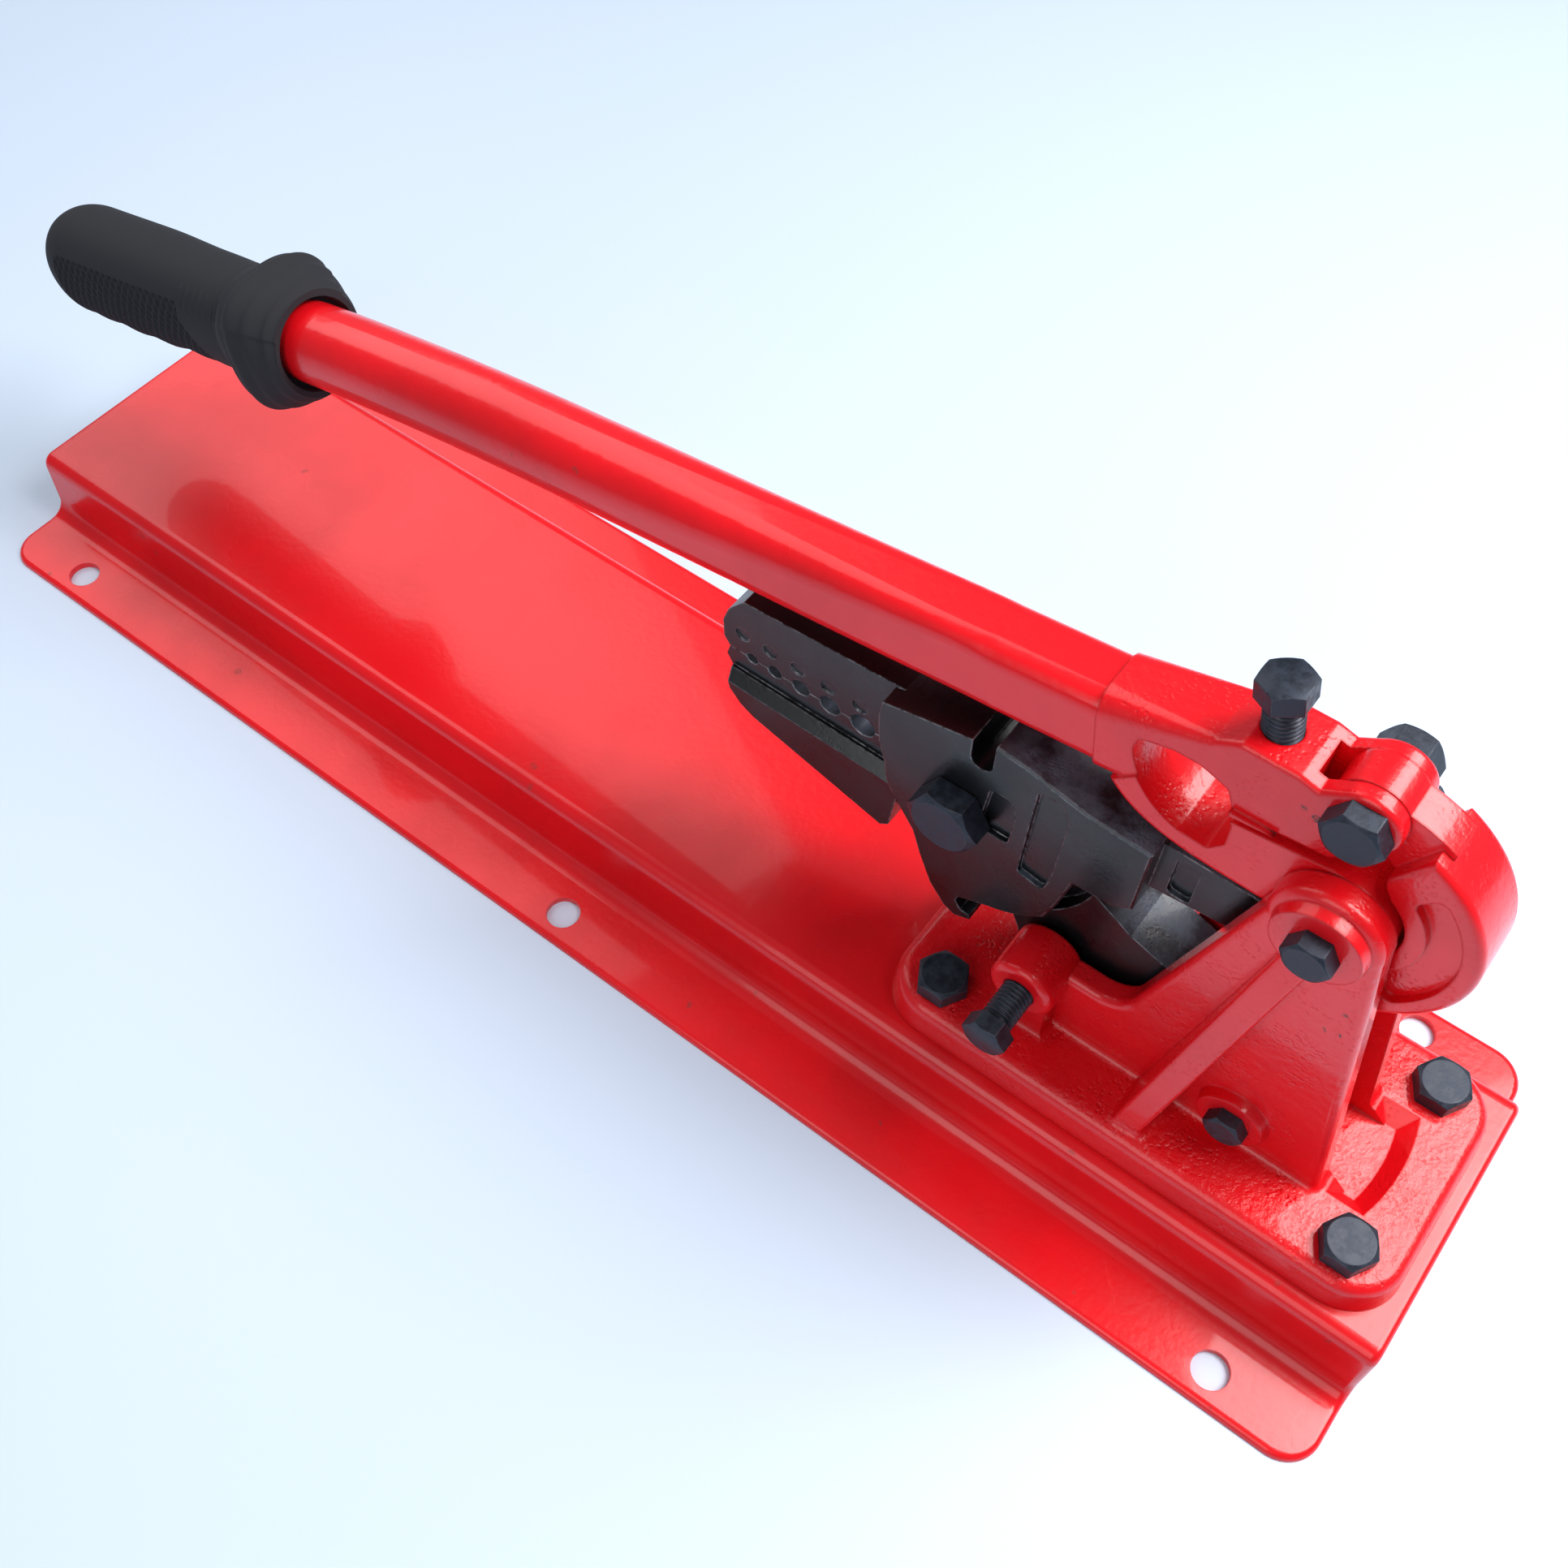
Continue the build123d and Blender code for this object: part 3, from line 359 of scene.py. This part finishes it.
def enamel(name, settings, groups, rough, relief, edge, chips):
    """Gloss enamel: rippled on sheet, lumpy and pitted over a casting."""
    material, tree, shader = new_material(name, Coat_Weight=0.3, Coat_Roughness=0.05, Specular_IOR_Level=0.35)
    corner = place_group(tree, groups["edge"], Radius=edge, Breakup=160.0, Gain=4.0)
    film = place_group(tree, groups["film"], Chips=chips)
    colour = mix_colours(tree, film.outputs["Thin"], settings.paint, settings.paint_thin)
    height = film.outputs["Height"]
    worn = film.outputs["Chip"]
    if relief:
        skin = place_group(tree, groups["cast"])
        axes, facing = place_axes(tree)[1:]
        flange = product(tree, spread(tree, facing["Z"], 0.7, 0.9), spread(tree, axes["Z"], *FLANGE_TOP))
        depth = spread(tree, flange, 0.0, 1.0, relief, relief * 3.5)
        height = math_node(tree, "ADD", product(tree, skin.outputs["Height"], depth), height)
        pitted = product(tree, skin.outputs["Pit"], 0.35)
        colour = mix_colours(tree, pitted, colour, settings.paint_thin)
    tree.links.new(mix_colours(tree, worn, colour, settings.chip), shader.inputs["Base Color"])
    gloss = spread(tree, film.outputs["Thin"], 0.0, 1.0, rough, rough + 0.09)
    roughness = math_node(tree, "ADD", gloss, product(tree, worn, 0.35))
    tree.links.new(roughness, shader.inputs["Roughness"])
    tree.links.new(bump(tree, height, 0.00012, corner.outputs["Normal"], 0.7), shader.inputs["Normal"])
    return material


def forged_black(name, settings, groups, scale_from):
    """Oiled black steel with pale worn edges, and grey forge scale beyond a line across the jaw."""
    material, tree, shader = new_material(name, Specular_IOR_Level=0.4, Coat_Weight=0.2, Coat_Roughness=0.15)
    edge = place_group(tree, groups["edge"], Radius=0.0009, Breakup=260.0, Gain=7.0)
    skin = place_group(tree, groups["cast"], Lumps=420.0, Pits=800.0)
    place, axes, facing = place_axes(tree)
    beyond = spread(tree, axes["X"], scale_from, scale_from + SCALE_FADE)
    upward = spread(tree, facing["Z"], 0.55, 0.8)
    patchy = spread(tree, noise(tree, place, 55.0, 4.0, 0.65), 0.36, 0.62)
    scaled = product(tree, beyond, upward, patchy)
    colour = mix_colours(tree, scaled, settings.black, settings.scale)
    # ground steel inside the die cavities
    off_parting = math_node(tree, "ABSOLUTE", math_node(tree, "SUBTRACT", axes["Z"], PARTING))
    sideways = math_node(tree, "ABSOLUTE", facing["Y"])
    ground = product(
        tree, spread(tree, off_parting, *CAVITY_REACH), spread(tree, axes["X"], *CAVITY_BACK),
        spread(tree, sideways, 0.5, 0.3), spread(tree, axes["X"], *CAVITY_FRONT))
    worn = math_node(tree, "MAXIMUM", product(tree, edge.outputs["Mask"], 0.75), ground)
    tree.links.new(mix_colours(tree, worn, colour, settings.worn), shader.inputs["Base Color"])
    tree.links.new(product(tree, worn, 0.9), shader.inputs["Metallic"])
    oily = spread(tree, noise(tree, place, 38.0, 3.0), 0.3, 0.7, 0.24, 0.42)
    roughness = math_node(tree, "ADD", oily, product(tree, scaled, 0.3))
    tree.links.new(roughness, shader.inputs["Roughness"])
    relief = product(tree, skin.outputs["Height"], spread(tree, scaled, 0.0, 1.0, 0.35, 2.2))
    tree.links.new(bump(tree, relief, 0.00016, edge.outputs["Normal"]), shader.inputs["Normal"])
    return material


def black_oxide(name, settings, groups):
    """Blued steel with faint brighter edges and a dry, mottled sheen."""
    material, tree, shader = new_material(name, Metallic=0.45, Specular_IOR_Level=0.5)
    edge = place_group(tree, groups["edge"], Radius=0.0006, Breakup=330.0, Gain=4.0)
    place = add_node(tree, "TexCoord").outputs["Object"]
    mottle = spread(tree, noise(tree, place, 300.0, 5.0, 0.65), 0.3, 0.7)
    colour = mix_colours(tree, mottle, settings.oxide, tuple(1.9 * part for part in settings.oxide))
    worn = product(tree, edge.outputs["Mask"], 0.32)
    tree.links.new(mix_colours(tree, worn, colour, settings.worn), shader.inputs["Base Color"])
    tree.links.new(spread(tree, mottle, 0.0, 1.0, 0.36, 0.52), shader.inputs["Roughness"])
    tree.links.new(bump(tree, mottle, 0.00003, edge.outputs["Normal"]), shader.inputs["Normal"])
    return material


def moulded_vinyl(name, settings, groups):
    """Glossy black vinyl with faint flow marks and handling haze."""
    material, tree, shader = new_material(name, Specular_IOR_Level=0.5, Coat_Weight=0.3, Coat_Roughness=0.12)
    edge = place_group(tree, groups["edge"], Radius=0.0006, Breakup=200.0, Gain=2.0)
    place = add_node(tree, "TexCoord").outputs["Object"]
    haze = spread(tree, noise(tree, place, 26.0, 5.0, 0.6), 0.3, 0.7)
    tree.links.new(mix_colours(tree, haze, settings.vinyl, tuple(1.8 * part for part in settings.vinyl)),
                   shader.inputs["Base Color"])
    tree.links.new(spread(tree, haze, 0.0, 1.0, 0.14, 0.24), shader.inputs["Roughness"])
    flow = noise(tree, place, 520.0, 2.0, 0.5, stretch=(0.35, 1.0, 1.0))
    tree.links.new(bump(tree, flow, 0.00005, edge.outputs["Normal"]), shader.inputs["Normal"])
    return material


# ---------------------------------------------------------------------
# Mesh helpers
# ---------------------------------------------------------------------
def ring_mesh(name, rings, material, smooth_angle):
    """A closed skin through rings of equal count, its first and last closed to a point."""
    count = len(rings[0])
    points = [sum(rings[0], Vector()) / count, sum(rings[-1], Vector()) / count]
    points += [point for ring in rings for point in ring]
    faces = []
    for row in range(len(rings) - 1):
        start = 2 + row * count
        for column in range(count):
            after = (column + 1) % count
            faces.append((start + column, start + after, start + count + after, start + count + column))
    last = 2 + (len(rings) - 1) * count
    for column in range(count):
        after = (column + 1) % count
        faces.append((0, 2 + after, 2 + column))
        faces.append((1, last + column, last + after))
    mesh = bpy.data.meshes.new(name)
    mesh.from_pydata([tuple(point) for point in points], [], faces)
    mesh.materials.append(material)
    mesh.shade_smooth()
    mesh.set_sharp_from_angle(angle=radians(smooth_angle))
    piece = bpy.data.objects.new(name, mesh)
    bpy.context.scene.collection.objects.link(piece)
    return piece


def end_of(node, direction):
    """The middle of a CAD node's corners that reach furthest in a direction, and how far they reach."""
    corners = [vertex.co for vertex in frame["nodes"][node].data.vertices]
    reach = max(corner.dot(direction) for corner in corners)
    end = [corner for corner in corners if reach - corner.dot(direction) < LEVEL]
    return sum(end, Vector()) / len(end), reach


def hex_radius(angle, flats):
    """The distance to a hexagon's side at this angle."""
    return flats / 2 / cos((angle % (pi / 3)) - pi / 6)


def screw_rings(length, head, settings):
    """Rings of a threaded hex screw, from its head's top at +Z to its tip. The head stands on z = 0."""
    angles = [2 * pi * step / SCREW_TURNS for step in range(SCREW_TURNS)]
    crown = settings.flats * CROWN_SHARE
    slope = tan(CROWN_SLOPE)
    radius, depth, pitch = settings.radius, settings.depth, settings.pitch

    def ring(radius_at, height_at):
        return [Vector((radius_at(a) * cos(a), radius_at(a) * sin(a), height_at(a))) for a in angles]

    rings = [ring(lambda a: crown, lambda a: head)]
    rings.append(ring(lambda a: hex_radius(a, settings.flats),
                      lambda a: head - (hex_radius(a, settings.flats) - crown) * slope))
    rings.append(ring(lambda a: hex_radius(a, settings.flats), lambda a: 0.0))
    rings.append(ring(lambda a: radius - depth, lambda a: 0.0))
    rows = round(length / pitch * THREAD_ROWS)
    for row in range(1, rows + 1):
        z = -length * row / rows
        runout = min(1.0, (z + length) / (depth * RUNOUT))

        def crest(a):
            share = (z / pitch + a / (2 * pi)) % 1.0
            ridge = min(1.0, max(0.0, THREAD_CREST - THREAD_FLANK * abs(share - 0.5)))
            return radius - depth + depth * ridge * runout

        rings.append(ring(crest, lambda a: z))
    return rings


def place_screw(node, body, head, settings, material):
    """A threaded screw that stands in for a plain CAD one, on the same axis and seat."""
    axis = Vector(next(joint["axis"] for joint in JOINTS if joint["child"] == body)).normalized()
    middle, top = end_of(node, axis)
    tip = -end_of(node, -axis)[1]
    turn = axis.to_track_quat("Z", "Y").to_matrix()
    seat = middle - axis * head
    rings = [[turn @ point + seat for point in ring] for ring in screw_rings(top - tip - head, head, settings)]
    piece = ring_mesh(node + "_threaded", rings, material, 35)
    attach(piece, body)
    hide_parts(node)


# ---------------------------------------------------------------------
# The grip's shape
# ---------------------------------------------------------------------
def grip_frame():
    """A function from millimetres along, to the side of and above the grip's axis, to a place in the model."""
    back = Vector((-cos(GRIP_SLOPE), 0.0, -sin(GRIP_SLOPE)))
    up = Vector((-sin(GRIP_SLOPE), 0.0, cos(GRIP_SLOPE)))
    exit_point = end_of("grip", -back)[0] + back * GRIP_LIP * MM

    def place(along, side, above):
        return exit_point + back * along * MM + Vector((0.0, side * MM, 0.0)) + up * above * MM

    return place


def soft_step(value, low, high):
    """A smooth rise from 0 at low to 1 at high."""
    share = min(1.0, max(0.0, (value - low) / (high - low)))
    return share * share * (3 - 2 * share)


def between(value, keys):
    """Values blended smoothly between the two keyed rows around this value."""
    for low, high in zip(keys, keys[1:]):
        if value <= high[0]:
            share = soft_step(value, low[0], high[0])
            return [a + (b - a) * share for a, b in zip(low[1:], high[1:])]
    return list(keys[-1][1:])


def knurled_depth(along, elevation, settings):
    """Depth of the knurled panel on each side, whose collar end slants down to a point."""
    body, pitch = settings.body / MM, settings.knurl_pitch / MM
    start = PANEL_START - PANEL_SLANT * soft_step(-elevation, radians(-30), radians(60))
    into = min(elevation - PANEL_LOW, PANEL_HIGH - elevation) * body
    into = min(into, (along - start) * 0.8, (PANEL_END - along) * 0.8)
    round_off = hypot(max(0.0, along - PANEL_BEND), max(0.0, 12 - into))
    inside = soft_step(into, 0.2, 1.0) * (1 - soft_step(round_off, 12.5, 14))
    around = elevation * body
    lines = [abs(((along + around * lean) / pitch) % 1.0 - 0.5) * 2 for lean in (KNURL_LEAN, -KNURL_LEAN)]
    ridge = max(soft_step(line, 0.6, 0.9) for line in lines)
    return settings.knurl_depth / MM * inside * (1 - ridge)


def grip_point(along, angle, settings):
    """Side and height of the grip's skin. The angle runs from the far side over the top to the near side."""
    wide, tall, square = between(along, GRIP_SECTIONS)
    collar = settings.collar / MM
    c, s = cos(angle), sin(angle)
    reach = (abs(c / (wide * collar)) ** square + abs(s / (tall * collar)) ** square) ** (-1 / square)
    if along > GRIP_DOME:
        share = min(1.0, (along - GRIP_DOME) / (GRIP_END - GRIP_DOME))
        reach *= max(0.0, 1 - share ** DOME_POWER) ** (1 / DOME_POWER)
    # finger waves under the body
    under = soft_step(-s, 0.35, 0.95)
    on_body = soft_step(along, 44, 60) * (1 - soft_step(along, 136, 152))
    wave = 0.5 + 0.5 * cos(2 * pi * (along - WAVE_CREST) / WAVE_PITCH)
    reach -= settings.wave_depth / MM * under * on_body * wave
    elevation = atan2(s, abs(c))
    reach -= knurled_depth(along, elevation, settings)
    # short ribs on top of the neck, on the near side
    if NECK_FROM < along < NECK_TO and c < 0:
        across = soft_step(elevation, radians(28), radians(34))
        across *= 1 - soft_step(elevation, radians(52), radians(58))
        reach += NECK_RIB * across * max(0.0, cos(2 * pi * (along - NECK_FROM) / NECK_PITCH)) ** 3
    # crease across the collar on both upper sides
    if along < CREASE_END:
        fade = 1 - soft_step(along, 20, CREASE_END)
        reach += CREASE_DEPTH * (soft_step(elevation, radians(33), radians(35)) - 0.5) * fade
    # drain slot under the end
    slot = exp(-((along - SLOT_PLACE) / 2.4) ** 4) * exp(-((angle - radians(255)) / radians(17)) ** 4)
    reach -= SLOT_DEPTH * slot
    return reach * c, reach * s


# ---------------------------------------------------------------------
# Operators
# ---------------------------------------------------------------------
class SWAGER_OT_finishes(bpy.types.Operator):
    """Paint the sheet and the castings, and black the jaws and the fasteners"""

    bl_idname = "swager.finishes"
    bl_label = "Finishes"

    def execute(self, context):
        settings = context.scene.swager_finishes
        groups = {"edge": edge_group(), "film": film_group(), "cast": cast_group()}
        sheet = enamel("sheet_enamel", settings, groups, rough=0.22, relief=0.0, edge=0.0006, chips=0.5)
        casting = enamel("casting_enamel", settings, groups, rough=0.24, relief=2.2, edge=0.0014, chips=1.0)
        oxide = black_oxide("black_oxide", settings, groups)
        moulded_vinyl("grip_vinyl", settings, groups)
        for node in frame["nodes"]:
            dress(node, oxide)
        for node in SHEET_NODES:
            dress(node, sheet)
        for node in CAST_NODES:
            dress(node, casting)
        for node, scale_from in SCALE_FROM.items():
            dress(node, forged_black(node + "_black", settings, groups, scale_from))
        return {"FINISHED"}


class SWAGER_OT_screws(bpy.types.Operator):
    """Cut the threads of the adjusting screw and the two clamp screws"""

    bl_idname = "swager.screws"
    bl_label = "Threaded screws"

    def execute(self, context):
        settings = context.scene.swager_screws
        oxide = bpy.data.materials["black_oxide"]
        for node, body in SCREWS.items():
            head = settings.adjuster_head if body == "adjuster" else settings.clamp_head
            place_screw(node, body, head, settings, oxide)
        return {"FINISHED"}


class SWAGER_OT_grip(bpy.types.Operator):
    """Mould the grip: guard collar, finger waves, knurled panels and domed end"""

    bl_idname = "swager.grip"
    bl_label = "Grip"

    def execute(self, context):
        settings = context.scene.swager_grip
        place = grip_frame()
        angles = [2 * pi * step / GRIP_TURNS for step in range(GRIP_TURNS)]
        rings = [[place(along, radius * cos(a), radius * sin(a)) for a in angles]
                 for along, radius in GRIP_MOUTH]
        for row in range(GRIP_ROWS + 1):
            along = GRIP_FRONT + (GRIP_END - GRIP_FRONT) * row / GRIP_ROWS
            rings.append([place(along, *grip_point(along, a, settings)) for a in angles])
        piece = ring_mesh("moulded_grip", rings, bpy.data.materials["grip_vinyl"], 60)
        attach(piece, "lever")
        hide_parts("grip")
        return {"FINISHED"}


def hang_light(name, place, aim, size, power):
    """A soft square light that faces a point."""
    data = bpy.data.lights.new(name, "AREA")
    data.energy = power
    data.size = size
    light = bpy.data.objects.new(name, data)
    light.location = place
    light.rotation_euler = (Vector(aim) - Vector(place)).to_track_quat("-Z", "Y").to_euler()
    bpy.context.scene.collection.objects.link(light)


class SWAGER_OT_stage(bpy.types.Operator):
    """Lay the floor, hang the lights and stand the camera"""

    bl_idname = "swager.stage"
    bl_label = "Stage"

    def execute(self, context):
        settings = context.scene.swager_stage
        scene = context.scene
        half = settings.floor_size / 2
        corners = [(-half, -half, 0), (half, -half, 0), (half, half, 0), (-half, half, 0)]
        mesh = bpy.data.meshes.new("floor")
        mesh.from_pydata(corners, [], [(0, 1, 2, 3)])
        floor = bpy.data.objects.new("floor", mesh)
        scene.collection.objects.link(floor)
        colour = (*settings.floor_colour, 1.0)
        mesh.materials.append(new_material("pale_floor", Base_Color=colour, Roughness=0.42)[0])

        for name, (place, aim, size, power) in LIGHTS.items():
            hang_light(name, place, aim, size, getattr(settings, power))

        world = bpy.data.worlds.new("soft_room")
        world.use_nodes = True
        background = world.node_tree.nodes["Background"]
        background.inputs["Color"].default_value = ROOM_COLOUR
        background.inputs["Strength"].default_value = settings.room
        scene.world = world
        scene.view_settings.view_transform = "Standard"

        data = bpy.data.cameras.new("camera")
        data.lens = settings.lens
        data.sensor_width = 36.0
        data.clip_start = 0.01
        camera = bpy.data.objects.new("camera", data)
        camera.matrix_world = Matrix.Translation(CAMERA_PLACE) @ Matrix(CAMERA_AXES).transposed().to_4x4()
        scene.collection.objects.link(camera)
        scene.camera = camera
        return {"FINISHED"}


class SWAGER_PT_build(bpy.types.Panel):
    """The swager's pieces and settings"""

    bl_idname = "SWAGER_PT_build"
    bl_label = "Bench hand swager"
    bl_space_type = "VIEW_3D"
    bl_region_type = "UI"
    bl_category = "Swager"

    def draw(self, context):
        for operator, group in zip(OPERATORS, GROUPS):
            box = self.layout.box()
            box.operator(operator.bl_idname)
            settings = getattr(context.scene, group)
            for name in settings.__annotations__:
                box.prop(settings, name)


GROUPS = {
    "swager_finishes": SWAGER_PG_finishes, "swager_screws": SWAGER_PG_screws,
    "swager_grip": SWAGER_PG_grip, "swager_stage": SWAGER_PG_stage}
OPERATORS = (SWAGER_OT_finishes, SWAGER_OT_screws, SWAGER_OT_grip, SWAGER_OT_stage)
CLASSES = (*GROUPS.values(), *OPERATORS, SWAGER_PT_build)


def register():
    for cls in CLASSES:
        bpy.utils.register_class(cls)
    for name, group in GROUPS.items():
        setattr(bpy.types.Scene, name, bpy.props.PointerProperty(type=group))


def unregister():
    for name in GROUPS:
        delattr(bpy.types.Scene, name)
    for cls in reversed(CLASSES):
        bpy.utils.unregister_class(cls)


def main():
    register()
    bpy.ops.swager.finishes()
    bpy.ops.swager.screws()
    bpy.ops.swager.grip()
    bpy.ops.swager.stage()


if __name__ == "__main__":
    main()
